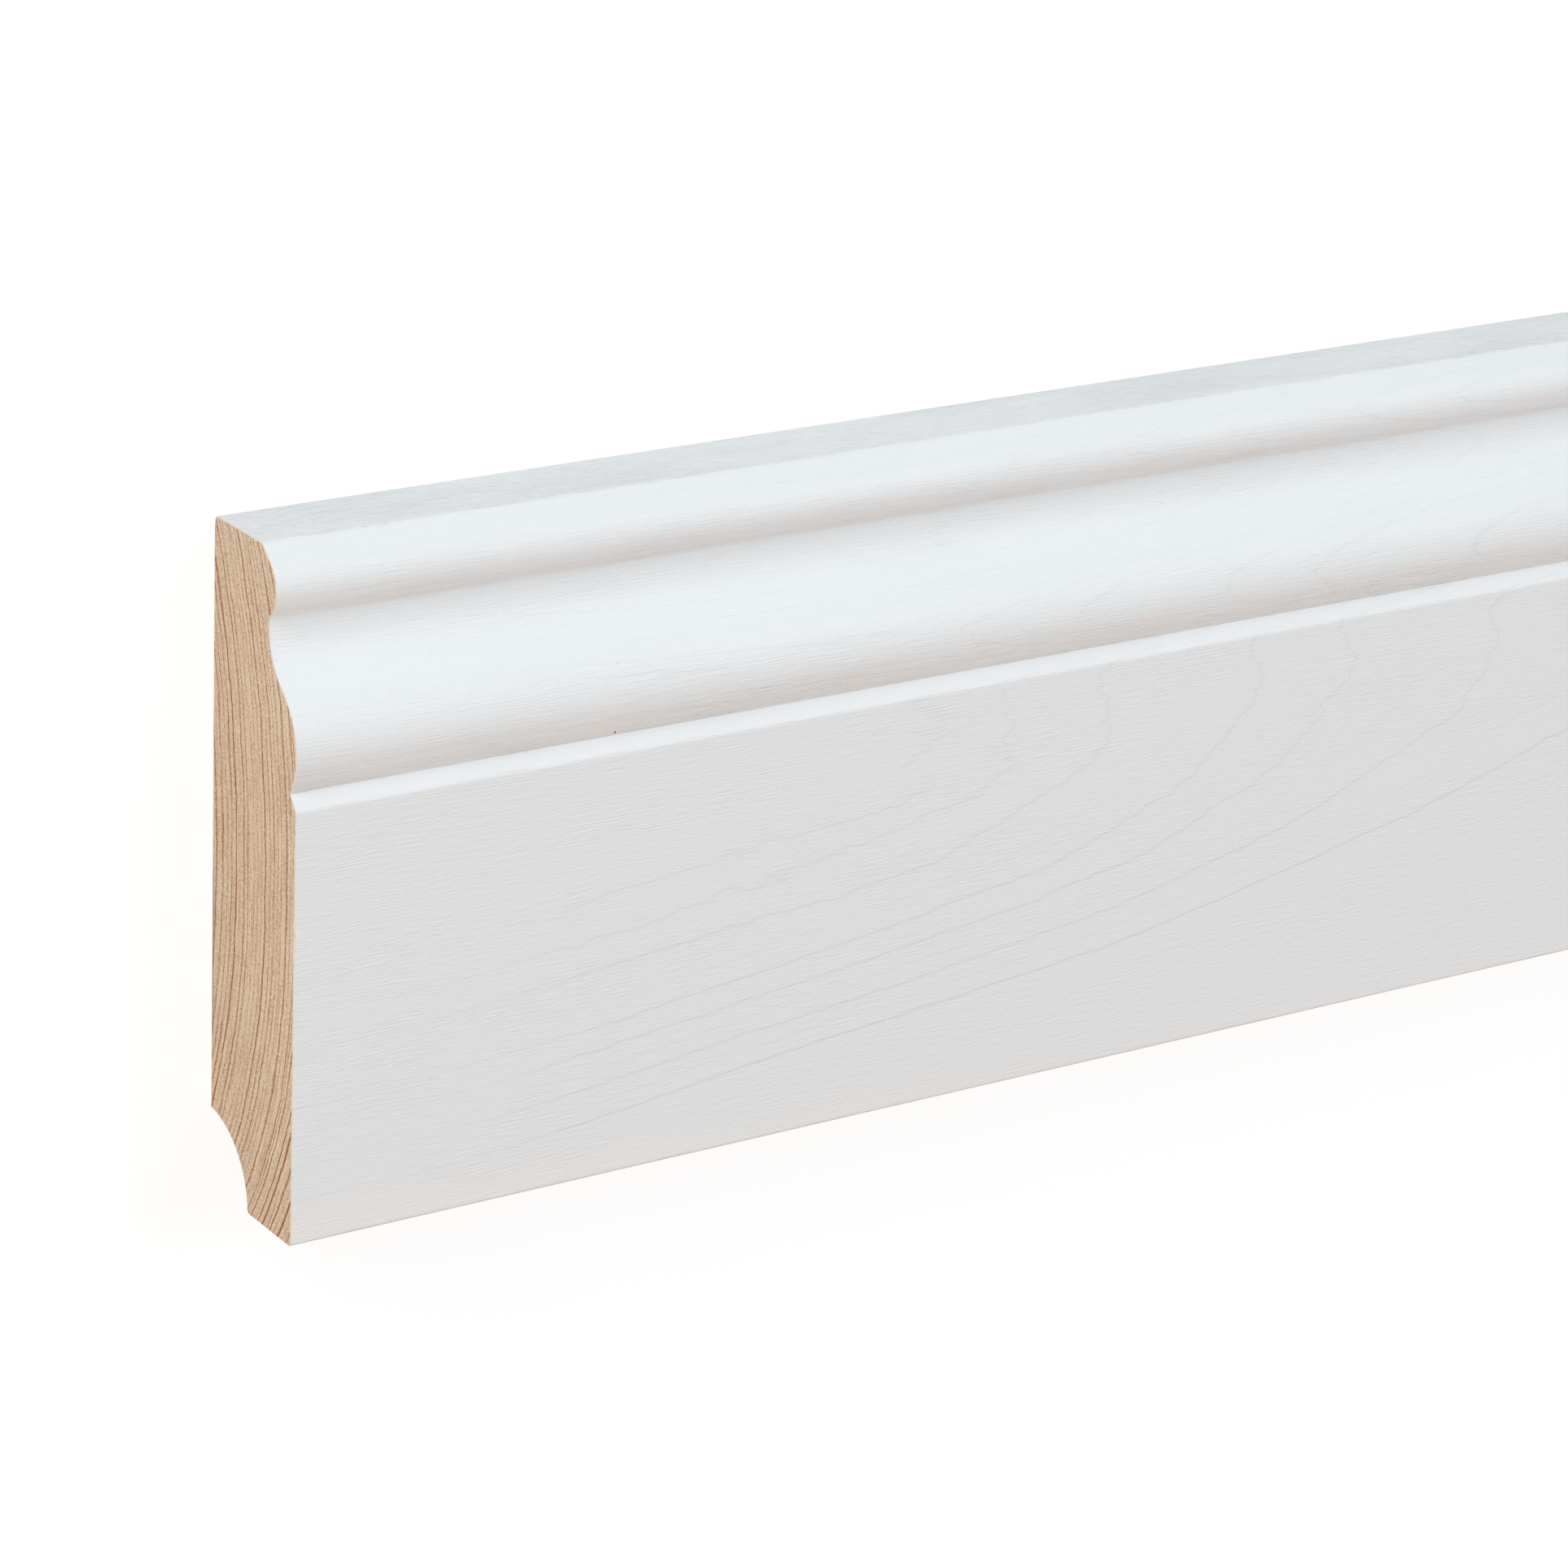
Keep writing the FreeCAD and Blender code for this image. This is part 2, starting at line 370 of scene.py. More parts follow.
    def neck_centre(self, bead: Vector, hollow: Vector, hollow_radius: float) -> Vector:
        """Finds the neck, which touches the bead from outside and the hollow from inside.

        Args:
            bead: Centre of the bead.
            hollow: Centre of the hollow.
            hollow_radius: Radius of the hollow.

        Returns:
            The centre of the neck's round.
        """
        to_hollow = hollow_radius - self.neck_radius
        to_bead = self.bead_radius + self.neck_radius
        gap = bead - hollow
        along = (to_hollow**2 - to_bead**2 + gap.length**2) / (2 * gap.length)
        across = math.sqrt(to_hollow**2 - along**2)
        way = unit(gap)
        sides = (hollow + way * along + Vector((-way.y, way.x)) * across * sign for sign in (1, -1))
        return max(sides, key=lambda point: point.x)

    def shoulder_foot(self, bead: Vector, top_front: Vector) -> Vector:
        """Finds where the straight shoulder from the top edge's front touches the bead.

        Args:
            bead: Centre of the bead.
            top_front: Front of the top edge, before it is eased.

        Returns:
            The point where they touch.
        """
        to_corner = top_front - bead
        corner_angle = math.atan2(to_corner.y, to_corner.x)
        reach = math.acos(self.bead_radius / to_corner.length)
        angles = (corner_angle + reach, corner_angle - reach)
        touches = (bead + Vector((math.cos(a), math.sin(a))) * self.bead_radius for a in angles)
        return min(touches, key=lambda point: point.y)


@dataclass(frozen=True)
class Ring:
    """One annual ring: where its latewood starts, in millimetres behind the crown's face, and its darkness."""

    depth: float
    strength: float


@dataclass(frozen=True)
class GrowthRings:
    """Annual rings of the slow-grown softwood, in millimetres.

    They bow towards the moulded face about a crown line near the middle of the board. The pith lies behind
    the back and drifts away along the board, so the rings leave long arches on the face. Good and poor years
    make them wide and narrow, and the run of years below repeats deeper in the trunk.
    """

    years: tuple[Ring, ...] = (
        Ring(-9.6, 0.5),
        Ring(-8.6, 0.2),
        Ring(-7.65, 0.9),
        Ring(-6.7, 0.2),
        Ring(-5.75, 0.7),
        Ring(-4.9, 0.2),
        Ring(-4.05, 0.7),
        Ring(-2.95, 0.7),
        Ring(-2.2, 0.15),
        Ring(-1.4, 0.6),
        Ring(-0.65, 0.5),
        Ring(-0.27, 0.45),
        Ring(0.8, 0.22),
        Ring(1.6, 0.5),
        Ring(2.9, 0.33),
        Ring(3.7, 0.28),
        Ring(4.6, 0.47),
        Ring(5.5, 0.3),
        Ring(6.6, 0.62),
        Ring(7.5, 0.25),
        Ring(8.4, 0.28),
        Ring(9.2, 0.15),
        Ring(10.6, 0.4),
        Ring(11.5, 0.52),
        Ring(12.4, 0.18),
        Ring(13.3, 0.6),
        Ring(14.4, 0.42),
        Ring(15.4, 0.28),
        Ring(16.4, 0.38),
        Ring(17.9, 0.45),
    )
    last_year: float = 1.3
    crown_height: float = 0.4
    crown_climb: float = 6.6
    crown_climb_from: float = 7.0
    crown_climb_to: float = 93.0
    bow_below: float = 1.784e-3
    bow_above: float = 1.288e-3
    bow_power: float = 2.35
    drift: float = 7.0
    drift_from: float = 70.0
    drift_to: float = 207.0
    steepest_drift: float = 1.5
    wander_length: float = 350.0
    crown_wander: float = 22.0
    crown_seed: float = 3.7
    drift_wander: float = 16.0
    drift_seed: float = 41.3
    settled_until: float = 200.0
    wandering_from: float = 700.0
    warp: float = 0.16
    warp_length: float = 45.0
    warp_width: float = 6.0
    ripple: float = 0.055
    ripple_length: float = 3.2
    ripple_width: float = 1.2
    noise_stretch: float = 4.0
    latewood_narrow: float = 0.25
    latewood_wide: float = 0.45
    latewood_solid: float = 0.45
    line_width: float = 0.3
    line_at_end: float = 0.3
    line_faint_until: float = 23.0
    line_full_from: float = 43.0
    sapwood_line: float = 0.25
    sapwood_outside: float = -8.2
    sapwood_edge: float = 0.2
    least_gradient: float = 0.02
    look_ahead: float = 0.0005
    fibre_length: float = 4.5
    fibre_width: float = 0.2

    @property
    def period(self) -> float:
        """How deep the run of years is."""
        return self.years[-1].depth + self.last_year - self.years[0].depth

    def group(self, length: float, height: float, thickness: float) -> Tree:
        """Makes the node group that places the rings anywhere in the board.

        Args:
            length: The board's length, in millimetres.
            height: Its height.
            thickness: Its thickness.

        Returns:
            A group with these outputs: Place, in the frame in millimetres; Spot, the same place as the way
            along from the left end, the drop from the top edge and the setback from the face; Inward, towards
            the pith; Latewood, and the Line where it ends; and Fibre.
        """
        tree = bpy.data.node_groups.new("softwood_growth_rings", "ShaderNodeTree")
        texture = add_node(tree, "ShaderNodeTexCoord").outputs
        place = add_node(
            tree, "ShaderNodeVectorMath", {0: texture["Object"], "Scale": 1 / MM}, operation="SCALE"
        )
        corner = (length / 2, height / 2, thickness)
        spot = add_node(tree, "ShaderNodeVectorMath", (place, (1, -1, -1), corner), operation="MULTIPLY_ADD")
        inward, gradient = self.inward(tree, place, spot, texture["Normal"])
        latewood, line = self.year_marks(tree, inward, gradient)
        marks = {
            "Place": place,
            "Spot": spot,
            "Inward": inward,
            "Latewood": latewood,
            "Line": self.fading(tree, line, spot, inward),
            "Fibre": grain(tree, place, self.fibre_length, self.fibre_width, 3.0),
        }
        for name in marks:
            kind = "NodeSocketVector" if name in ("Place", "Spot") else "NodeSocketFloat"
            tree.interface.new_socket(name=name, in_out="OUTPUT", socket_type=kind)
        add_node(tree, "NodeGroupOutput", marks)
        return tree

    def fading(self, tree: Tree, line: Signal, spot: Signal, inward: Signal) -> Signal:
        """Fades the rings' lines next to the left end and in the sapwood.

        Args:
            tree: The group's tree.
            line: The lines at full strength.
            spot: The place as way, drop and setback.
            inward: The distance towards the pith.

        Returns:
            The lines as they show.
        """
        way = add_node(tree, "ShaderNodeSeparateXYZ", (spot,)).outputs["X"]
        outside = self.sapwood_outside
        for value, start, end, least, style in (
            (way, self.line_faint_until, self.line_full_from, self.line_at_end, "SMOOTHSTEP"),
            (inward, outside - self.sapwood_edge, outside, self.sapwood_line, "LINEAR"),
        ):
            showing = add_node(
                tree, "ShaderNodeMapRange", (value, start, end, least, 1.0), interpolation_type=style
            )
            line = add_node(tree, "ShaderNodeMath", (line, showing), operation="MULTIPLY")
        return line

    def wandering(self, tree: Tree, way: Signal, base: Signal, reach: float, seed: float) -> Signal:
        """Lets a measure wander slowly to both sides, but only well away from the left end.

        Args:
            tree: The group's tree.
            way: The way along the board from its left end.
            base: The measure.
            reach: How far it goes to each side.
            seed: Sets this wander apart from others.

        Returns:
            The measure with its wander.
        """
        freedom = add_node(
            tree,
            "ShaderNodeMapRange",
            {
                "Value": way,
                "From Min": self.settled_until,
                "From Max": self.wandering_from,
                "To Max": 2 * reach,
            },
            interpolation_type="SMOOTHSTEP",
        )
        turn = add_node(
            tree, "ShaderNodeMath", (way, 1 / self.wander_length, seed), operation="MULTIPLY_ADD"
        )
        wave = add_node(
            tree, "ShaderNodeTexNoise", {"W": turn, "Scale": 1.0, "Detail": 1.0}, noise_dimensions="1D"
        )
        return swing(tree, base, wave, freedom)

    def inward(self, tree: Tree, place: Signal, spot: Signal, normal: Signal) -> tuple[Signal, Signal]:
        """Measures how far towards the pith a place is, and how fast that changes over the surface there.

        Args:
            tree: The group's tree.
            place: The place in the frame, in millimetres.
            spot: The same as way, drop and setback.
            normal: The surface's normal.

        Returns:
            The distance towards the pith, and its change for each millimetre over the surface.
        """
        up = add_node(tree, "ShaderNodeSeparateXYZ", (place,)).outputs["Y"]
        split = add_node(tree, "ShaderNodeSeparateXYZ", (spot,)).outputs
        way, setback = split["X"], split["Z"]
        climb = add_node(
            tree,
            "ShaderNodeMapRange",
            (
                way,
                self.crown_climb_from,
                self.crown_climb_to,
                self.crown_height,
                self.crown_height + self.crown_climb,
            ),
            interpolation_type="SMOOTHSTEP",
        )
        crown = self.wandering(tree, way, climb, self.crown_wander, self.crown_seed)
        off_crown = add_node(tree, "ShaderNodeMath", (up, crown), operation="SUBTRACT")
        above = add_node(tree, "ShaderNodeMath", (off_crown, 0.0), operation="GREATER_THAN")
        bend = add_node(
            tree,
            "ShaderNodeMapRange",
            {"Value": above, "To Min": -self.bow_below, "To Max": -self.bow_above},
        )
        distance = add_node(tree, "ShaderNodeMath", (off_crown,), operation="ABSOLUTE")
        curve = add_node(tree, "ShaderNodeMath", (distance, self.bow_power), operation="POWER")
        drift = add_node(
            tree,
            "ShaderNodeMapRange",
            {"Value": way, "From Min": self.drift_from, "From Max": self.drift_to, "To Max": self.drift},
            interpolation_type="SMOOTHSTEP",
        )
        drifted = self.wandering(tree, way, drift, self.drift_wander, self.drift_seed)
        level = add_node(tree, "ShaderNodeMath", (setback, drifted), operation="SUBTRACT")
        inward = add_node(tree, "ShaderNodeMath", (curve, bend, level), operation="MULTIPLY_ADD")
        for reach, length, width in (
            (self.warp, self.warp_length, self.warp_width),
            (self.ripple, self.ripple_length, self.ripple_width),
        ):
            # A soft noise keeps near its middle, so it is stretched to reach its measure.
            inward = swing(tree, inward, grain(tree, place, length, width, 1.0), self.noise_stretch * reach)

        rise = add_node(tree, "ShaderNodeMath", (distance, self.bow_power - 1), operation="POWER")
        side = add_node(tree, "ShaderNodeMath", (off_crown,), operation="SIGN")
        for factor in (bend, side, self.bow_power):
            rise = add_node(tree, "ShaderNodeMath", (rise, factor), operation="MULTIPLY")
        lean = -self.steepest_drift * self.drift / (self.drift_to - self.drift_from)
        slope = add_node(tree, "ShaderNodeCombineXYZ", {"X": lean, "Y": rise, "Z": -1.0})
        through = add_node(tree, "ShaderNodeVectorMath", (slope, normal), operation="CROSS_PRODUCT")
        gradient = add_node(tree, "ShaderNodeVectorMath", (through,), operation="LENGTH")
        held = add_node(tree, "ShaderNodeMath", (gradient, self.least_gradient), operation="MAXIMUM")
        return inward, held

    def years_passed(self, tree: Tree, share: Signal) -> Signal:
        """Tells what share of the years has passed at a share of their depth."""
        calendar = add_node(tree, "ShaderNodeFloatCurve", {"Value": share})
        curve = calendar.mapping.curves[0]
        for k, ring in enumerate(self.years[1:], start=1):
            curve.points.new((ring.depth - self.years[0].depth) / self.period, k / len(self.years))
        for point in curve.points:
            point.handle_type = "VECTOR"
        calendar.mapping.update()
        return calendar

    def strength(self, tree: Tree, year: Signal) -> Signal:
        """Looks up how dark a year's latewood is, by the year's number."""
        count = len(self.years)
        middle = add_node(tree, "ShaderNodeMath", (year, 0.5), operation="ADD")
        share = add_node(tree, "ShaderNodeMath", (middle, count), operation="DIVIDE")
        strengths = add_node(tree, "ShaderNodeValToRGB", {"Fac": share})
        ramp = strengths.color_ramp
        ramp.interpolation = "CONSTANT"
        while len(ramp.elements) < count:
            ramp.elements.new(len(ramp.elements) / (count + 1))
        for k, ring in enumerate(self.years):
            ramp.elements[k].position = k / count
            ramp.elements[k].color = (ring.strength, ring.strength, ring.strength, 1.0)
        return strengths

    def year_marks(self, tree: Tree, inward: Signal, gradient: Signal) -> tuple[Signal, Signal]:
        """Turns the distance towards the pith into the marks of the rings.

        Args:
            tree: The group's tree.
            inward: The distance towards the pith, in millimetres.
            gradient: Its change for each millimetre over the surface.

        Returns:
            How much latewood there is, and a fine line of even width where each ring's latewood ends.
        """
        count = len(self.years)
        shifted = add_node(tree, "ShaderNodeMath", (inward, self.years[0].depth), operation="SUBTRACT")
        turned = add_node(tree, "ShaderNodeMath", (shifted, self.period), operation="DIVIDE")
        share = add_node(tree, "ShaderNodeMath", (turned,), operation="FRACT")
        passed = self.years_passed(tree, share)
        counted = add_node(tree, "ShaderNodeMath", (passed, count), operation="MULTIPLY")
        within = add_node(tree, "ShaderNodeMath", (counted,), operation="FRACT")
        strength = self.strength(tree, add_node(tree, "ShaderNodeMath", (counted,), operation="FLOOR"))

        width = add_node(
            tree,
            "ShaderNodeMapRange",
            {"Value": strength, "To Min": self.latewood_narrow, "To Max": self.latewood_wide},
        )
        solid = add_node(tree, "ShaderNodeMath", (width, self.latewood_solid), operation="MULTIPLY")
        latewood = add_node(
            tree,
            "ShaderNodeMapRange",
            (within, solid, width, strength, 0.0),
            interpolation_type="SMOOTHSTEP",
        )

        # How fast the years pass over the surface gives a line of even width.
        ahead = add_node(tree, "ShaderNodeMath", (share, self.look_ahead), operation="ADD")
        pace = add_node(
            tree, "ShaderNodeMath", (self.years_passed(tree, ahead), passed), operation="SUBTRACT"
        )
        reach = pace
        for factor in (count / (self.look_ahead * self.period), gradient, self.line_width):
            reach = add_node(tree, "ShaderNodeMath", (reach, factor), operation="MULTIPLY")
        line = add_node(
            tree,
            "ShaderNodeMapRange",
            {"Value": within, "From Max": reach, "To Min": strength, "To Max": 0.0},
        )
        return latewood, line


@dataclass(frozen=True)
class Fleck:
    """A small mark on the coat, in millimetres. Its spot is the way from the left end, drop and setback."""

    way: float
    drop: float
    setback: float
    length: float
    width: float
    strength: float


@dataclass(frozen=True)
class SatinLacquer:
    """Water-borne white lacquer, sprayed on planed softwood in two thin coats.

    It is opaque and satin, so the eye gets broad soft highlights, and it is thin, so the fibres and the edges
    of the growth rings telegraph through as fine relief, with painted shade along the rings' lines. Its colour
    turns warmer just above the floor edge, the undersides of the moulding get a darker, warmer painted shade
    in streaks and the bevel a painted warm bounce, and it has a few flecks and rubbed spots. The fibres are
    drawn as coarse as they need to show.
    """

    white: str = "#EFF0F1"
    # Grey of the painted shade along the growth rings' lines.
    painted_ring_shade: str = "#D2D4D5"
    # A warmer tone that the coat turns to just above the floor edge.
    floor_edge_warmth: str = "#F9F1EB"
    # Darker, warmer tone of the painted shade under the moulding and the painted warm bounce on the bevel.
    painted_underside_shade: str = "#EDEAE8"
    fleck: str = "#4A3730"
    roughness: float = 0.42
    roughness_swing: float = 0.05
    ior: float = 1.5
    flecks: tuple[Fleck, ...] = (
        Fleck(41.0, 26.1, 1.05, 0.15, 0.2, 1.0),
        Fleck(41.0, 17.9, 1.05, 0.1, 0.1, 0.35),
        Fleck(12.6, 0.15, 8.35, 0.6, 0.2, 0.14),
        Fleck(15.2, 0.15, 8.35, 0.5, 0.25, 0.16),
    )
    fleck_solid: float = 0.6
    fleck_end: float = 1.2
    ring_relief_mm: float = 0.035
    ring_tint: float = 0.28
    tint_full_facing: float = 0.1
    tint_gone_facing: float = 0.4
    fibre_relief_mm: float = 0.08
    patch_length: float = 20.0
    patch_width: float = 6.25
    patch_from: float = 0.35
    patch_to: float = 0.65
    patch_low: float = 0.68
    patch_high: float = 1.27
    spray_relief_mm: float = 0.016
    spray_length: float = 1.6
    spray_width: float = 0.6
    dry_on_top: float = 3.5
    dry_underneath: float = 2.3
    top_from_facing: float = 0.85
    top_full_facing: float = 0.99
    under_full_facing: float = -0.4
    bead_until_drop: float = 12.0
    below_from_drop: float = 20.0
    bead_share: float = 0.3
    floor_warmth_share: float = 0.55
    floor_warmth_reach: float = 6.0
    floor_warmth_swing: float = 9.0
    floor_warmth_patches_per_mm: float = 0.06
    floor_warmth_far_share: float = 0.4
    floor_warmth_full_until: float = 30.0
    floor_warmth_fades_until: float = 110.0
    painted_bounce_on_bevel: float = 0.25
    bevel_drop: float = 27.4
    bevel_reach: float = 1.3
    bevel_solid: float = 0.7
    under_streaks: float = 4.5
    streak_length: float = 14.0
    streak_width: float = 0.8

    def material(self, rings: Tree, height: float) -> bpy.types.Material:
        """Makes the lacquer.

        Args:
            rings: The group that places the growth rings.
            height: The board's height, in millimetres.

        Returns:
            The material.
        """
        made, shader = new_material("satin_lacquer_on_softwood")
        tree = made.node_tree
        wood = add_node(tree, "ShaderNodeGroup", node_tree=rings).outputs
        split = add_node(tree, "ShaderNodeSeparateXYZ", (wood["Spot"],)).outputs
        way, drop = split["X"], split["Y"]
        normal = add_node(tree, "ShaderNodeTexCoord").outputs["Normal"]
        facing = add_node(tree, "ShaderNodeSeparateXYZ", (normal,)).outputs["Y"]
        turned, lower = self.underside(tree, facing, drop)
        dryness = self.dryness(tree, facing, turned, lower)

        colour = linear(self.white)
        # Colours laid over the white: painted shade along the ring lines, a warmer tone near the floor edge,
        # painted shade under the moulding with a painted warm bounce on the bevel, and flecks of dirt.
        for tone, cover in (
            (self.painted_ring_shade, self.painted_ring_shadow(tree, wood["Line"], facing, dryness)),
            (self.floor_edge_warmth, self.warmth_near_floor(tree, wood["Place"], way, drop, height)),
            (self.painted_underside_shade, self.painted_shade_underneath(tree, wood["Place"], drop, turned, lower)),
            (self.fleck, self.dirt(tree, wood["Spot"])),
        ):
            colour = add_node(
                tree,
                "ShaderNodeMix",
                {"Factor": cover, MIX_FROM: colour, MIX_TO: linear(tone)},
                data_type="RGBA",
            )
        smooth, rough = self.roughness - self.roughness_swing, self.roughness + self.roughness_swing
        sheen = add_node(
            tree, "ShaderNodeMapRange", {"Value": wood["Fibre"], "To Min": smooth, "To Max": rough}
        )
        surface = self.relief(tree, wood, dryness)
        feed(shader, {"Base Color": colour, "Roughness": sheen, "Normal": surface, "IOR": self.ior})
        return made

    def underside(self, tree: Tree, facing: Signal, drop: Signal) -> tuple[Signal, Signal]:
        """Tells where the moulding turns away from the gun, which is held square to the face, and so where its
        undersides get painted shade.

        Args:
            tree: The material's tree.
            facing: How far the surface faces towards the top edge, from -1 to 1.
            drop: How far down from the top edge it is.

        Returns:
            How far the surface is turned away, from 0 to 1, and how much that counts: less on the bead.
        """
        turned = add_node(
            tree,
            "ShaderNodeMapRange",
            {"Value": facing, "From Min": 0.0, "From Max": self.under_full_facing},
        )
        lower = add_node(
            tree,
            "ShaderNodeMapRange",
            (drop, self.bead_until_drop, self.below_from_drop, self.bead_share, 1.0),
        )
        return turned, lower

    def dryness(self, tree: Tree, facing: Signal, turned: Signal, lower: Signal) -> Signal:
        """Tells how much rougher the coat is where the spray lands dry.

        Args:
            tree: The material's tree.
            facing: How far the surface faces towards the top edge, from -1 to 1.
            turned: How far the surface is turned away from the gun, from 0 to 1.
            lower: How much that counts.

        Returns:
            A factor on the relief: 1 on the face, and more on the top edge and on the moulding's undersides.
        """
        top = add_node(
            tree,
            "ShaderNodeMapRange",
            (facing, self.top_from_facing, self.top_full_facing, 1.0, self.dry_on_top),
        )
        share = add_node(tree, "ShaderNodeMath", (turned, lower), operation="MULTIPLY")
        under = add_node(
            tree, "ShaderNodeMath", (share, self.dry_underneath - 1, 1.0), operation="MULTIPLY_ADD"
        )
        return add_node(tree, "ShaderNodeMath", (top, under), operation="MAXIMUM")

    def painted_ring_shadow(self, tree: Tree, line: Signal, facing: Signal, dryness: Signal) -> Signal:
        """Tells how far painted shade darkens the coat along the growth rings' lines, standing in for the
        shadow of their relief steps.

        Args:
            tree: The material's tree.
            line: The rings' lines.
            facing: How far the surface faces towards the top edge, from -1 to 1.
            dryness: The factor on the relief.

        Returns:
            The painted shade's cover, from 0 to 1.
        """
        # Painted shade on the ring lines: full where the surface faces the front or downwards, none where it
        # faces the top edge, and deeper where the relief is rougher.
        shade = add_node(
            tree,
            "ShaderNodeMapRange",
            (facing, self.tint_full_facing, self.tint_gone_facing, self.ring_tint, 0.0),
        )
        for factor in (dryness, line):
            shade = add_node(tree, "ShaderNodeMath", (shade, factor), operation="MULTIPLY")
        return shade

    def warmth_near_floor(self, tree: Tree, place: Signal, way: Signal, drop: Signal, height: float) -> Signal:
        """Tells how far the coat's colour turns warmer just above the floor edge, most near the left end.

        Args:
            tree: The material's tree.
            place: The place in the frame, in millimetres.
            way: The way along the board from its left end.
            drop: How far down from the top edge it is.
            height: The board's height.

        Returns:
            The warm tone's cover, from 0 to 1.
        """
        patches = add_node(
            tree, "ShaderNodeTexNoise", {"Vector": place, "Scale": self.floor_warmth_patches_per_mm, "Detail": 2.0}
        )
        cover = add_node(
            tree,
            "ShaderNodeMapRange",
            (
                swing(tree, drop, patches, self.floor_warmth_swing),
                height,
                height - self.floor_warmth_reach,
                self.floor_warmth_share,
                0.0,
            ),
            interpolation_type="SMOOTHSTEP",
        )
        far = add_node(
            tree,
            "ShaderNodeMapRange",
            (way, self.floor_warmth_full_until, self.floor_warmth_fades_until, 1.0, self.floor_warmth_far_share),
        )
        return add_node(tree, "ShaderNodeMath", (cover, far), operation="MULTIPLY")

    def painted_shade_underneath(self, tree: Tree, place: Signal, drop: Signal, turned: Signal, lower: Signal) -> Signal:
        """Tells how far painted shade darkens and warms the undersides of the moulding, in streaks, and how
        far a painted warm bounce tints the bevel.

        Args:
            tree: The material's tree.
            place: The place in the frame, in millimetres.
            drop: How far down from the top edge it is.
            turned: How far the surface is turned away from the gun, from 0 to 1.
            lower: How much that counts.

        Returns:
            The under-coat's cover, from 0 to 1.
        """
        # Painted shade on the undersides, in streaks.
        wave = grain(tree, place, self.streak_length, self.streak_width, 2.0)
        streaks = swing(tree, lower, wave, self.under_streaks)
        below = add_node(tree, "ShaderNodeMath", (streaks, turned), operation="MULTIPLY", use_clamp=True)
        # A painted warm bounce of light on the bevel.
        off = add_node(tree, "ShaderNodeMath", (drop, self.bevel_drop), operation="SUBTRACT")
        bevel = add_node(
            tree,
            "ShaderNodeMapRange",
            (
                add_node(tree, "ShaderNodeMath", (off,), operation="ABSOLUTE"),
                self.bevel_solid * self.bevel_reach,
                self.bevel_reach,
                self.painted_bounce_on_bevel,
                0.0,
            ),
        )
        return add_node(tree, "ShaderNodeMath", (below, bevel), operation="MAXIMUM")

    def dirt(self, tree: Tree, spot: Signal) -> Signal:
        """Places the flecks of dirt in the coat, and the rubbed spots on the top arris near the left end.

        Args:
            tree: The material's tree.
            spot: The place as way, drop and setback.

        Returns:
            How far a fleck covers the coat, from 0 to 1.
        """
        covered = 0.0
        for fleck in self.flecks:
            centre = (fleck.way, fleck.drop, fleck.setback)
            off = add_node(tree, "ShaderNodeVectorMath", (spot, centre), operation="SUBTRACT")
            size = (1 / fleck.length, 1 / fleck.width, 1 / fleck.width)
            sized = add_node(tree, "ShaderNodeVectorMath", (off, size), operation="MULTIPLY")
            mark = add_node(
                tree,
                "ShaderNodeMapRange",
                (
                    add_node(tree, "ShaderNodeVectorMath", (sized,), operation="LENGTH"),
                    self.fleck_solid,
                    self.fleck_end,
                    fleck.strength,
                    0.0,
                ),
            )
            covered = add_node(tree, "ShaderNodeMath", (covered, mark), operation="MAXIMUM")
        return covered

    def relief(self, tree: Tree, wood: bpy.types.NodeOutputs, dryness: Signal) -> Signal:
        """Raises the coat: a step where each ring ends, fibres that stand up in patches, and the spray.

        Args:
            tree: The material's tree.
            wood: What the group of growth rings gives.
            dryness: The factor on the relief.

        Returns:
            The surface's normal.
        """
        steps = add_node(
            tree,
            "ShaderNodeBump",
            {"Height": wood["Line"], "Distance": self.ring_relief_mm * MM},
            invert=True,
        )
        lift = add_node(
            tree,
            "ShaderNodeMapRange",
            (
                grain(tree, wood["Place"], self.patch_length, self.patch_width, 2.0),
                self.patch_from,
                self.patch_to,
                self.patch_low,
                self.patch_high,
            ),
        )
        fibres = swing(tree, 0.0, wood["Fibre"], lift)
        spray = grain(tree, wood["Place"], self.spray_length, self.spray_width, 2.0)
        for factor in (dryness, self.spray_relief_mm):
            spray = add_node(tree, "ShaderNodeMath", (spray, factor), operation="MULTIPLY")
        both = add_node(
            tree, "ShaderNodeMath", (fibres, self.fibre_relief_mm, spray), operation="MULTIPLY_ADD"
        )
        raised = add_node(tree, "ShaderNodeMath", (both, dryness), operation="MULTIPLY")
        return add_node(tree, "ShaderNodeBump", {"Height": raised, "Distance": MM, "Normal": steps})


